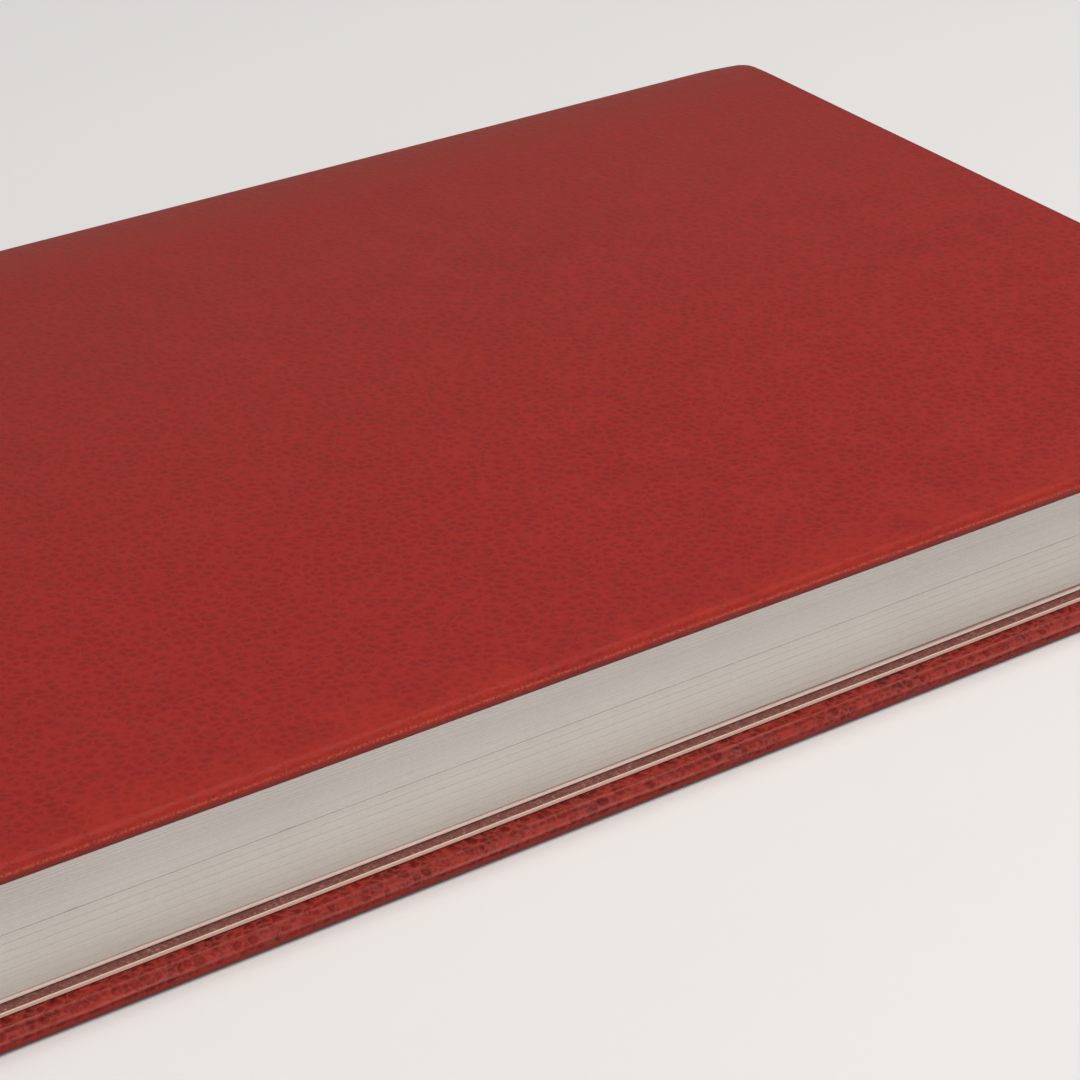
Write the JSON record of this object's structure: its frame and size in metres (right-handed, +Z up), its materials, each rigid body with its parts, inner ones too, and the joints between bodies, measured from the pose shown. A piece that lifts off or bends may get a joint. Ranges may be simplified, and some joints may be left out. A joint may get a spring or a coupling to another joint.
{
  "type": "hardcover notebook",
  "caption": "Full-leather case-bound notebook with sewn leaves, endpapers and a hollow rounded spine; covers and block open on hinges.",
  "frame": {"origin": "middle of the underside, the face it rests on", "axes": "+X from the spine to the fore-edge, +Y from the tail to the head, +Z up through the thickness"},
  "size_m": [0.151, 0.226, 0.0244],
  "materials": {
    "red_leather": "pebble-grain, semi-matt",
    "greyboard": "raw",
    "infill_card": "raw",
    "pastedown_paper": "speckled maroon face, cream core",
    "flyleaf_paper": "uncoated, pale pink cream",
    "page_paper": "uncoated",
    "linen_tape": "plain weave",
    "linen_thread": "waxed",
    "mull_cloth": "open weave",
    "kraft_paper": "uncoated",
    "headband_cloth": "woven silk"
  },
  "bodies": {
    "back_cover": {"back_board": "greyboard", "back_cover_leather": "red_leather", "back_infill": "infill_card", "back_tape_slips": "linen_tape", "back_mull_flap": "mull_cloth", "back_pastedown": "pastedown_paper", "back_joint_leather": "red_leather"},
    "lower_block": {"section_01": "page_paper", "section_02": "page_paper", "section_03": "page_paper", "section_04": "page_paper", "section_05": "page_paper", "section_06": "page_paper", "section_07": "page_paper", "tape_tail": "linen_tape", "tape_middle": "linen_tape", "tape_head": "linen_tape", "sewing_thread": "linen_thread", "mull": "mull_cloth", "spine_lining": "kraft_paper", "headband_head": "headband_cloth", "headband_tail": "headband_cloth"},
    "upper_block": {"section_08": "page_paper", "section_09": "page_paper", "section_10": "page_paper", "section_11": "page_paper", "section_12": "page_paper", "section_13": "page_paper", "section_14": "page_paper"},
    "spine": {"spine_leather": "red_leather", "spine_stiffener": "infill_card"},
    "front_joint": {"front_joint_leather": "red_leather", "front_flyleaf": "flyleaf_paper"},
    "front_cover": {"front_board": "greyboard", "front_cover_leather": "red_leather", "front_infill": "infill_card", "front_tape_slips": "linen_tape", "front_mull_flap": "mull_cloth", "front_pastedown": "pastedown_paper"},
    "back_flyleaf": {"back_flyleaf": "flyleaf_paper"}
  },
  "joints": [
    {"name": "back_cover_hinge", "type": "hinge", "parent": "back_cover", "child": "lower_block", "pos_m": [-0.0691, 0, 0.0009], "axis": [0, -1, 0], "range_deg": [0, 90], "deforming": ["back_joint_leather"]},
    {"name": "block_opening", "type": "hinge", "parent": "lower_block", "child": "upper_block", "pos_m": [-0.0691, 0, 0.0122], "axis": [0, -1, 0], "range_deg": [0, 90], "deforming": ["mull", "spine_lining", "tape_tail", "tape_middle", "tape_head", "sewing_thread", "headband_head", "headband_tail"]},
    {"name": "spine_fold", "type": "hinge", "parent": "lower_block", "child": "spine", "pos_m": [-0.0691, 0, 0.0009], "axis": [0, -1, 0], "range_deg": [0, 58.5]},
    {"name": "front_joint_fold", "type": "hinge", "parent": "spine", "child": "front_joint", "pos_m": [-0.0691, 0, 0.0235], "axis": [0, -1, 0], "range_deg": [0, 31.5]},
    {"name": "front_cover_hinge", "type": "hinge", "parent": "front_joint", "child": "front_cover", "pos_m": [-0.0691, 0, 0.0235], "axis": [0, -1, 0], "range_deg": [0, 178], "deforming": ["front_joint_leather"]},
    {"name": "back_flyleaf_turn", "type": "hinge", "parent": "back_cover", "child": "back_flyleaf", "pos_m": [-0.0688, 0, 0.00345], "axis": [0, -1, 0], "range_deg": [0, 45]}
  ],
  "couplings": [
    {"joint": "spine_fold", "follows": "block_opening", "ratio": 0.65},
    {"joint": "front_joint_fold", "follows": "block_opening", "ratio": 0.35},
    {"joint": "back_flyleaf_turn", "follows": "back_cover_hinge", "ratio": 0.5}
  ]
}
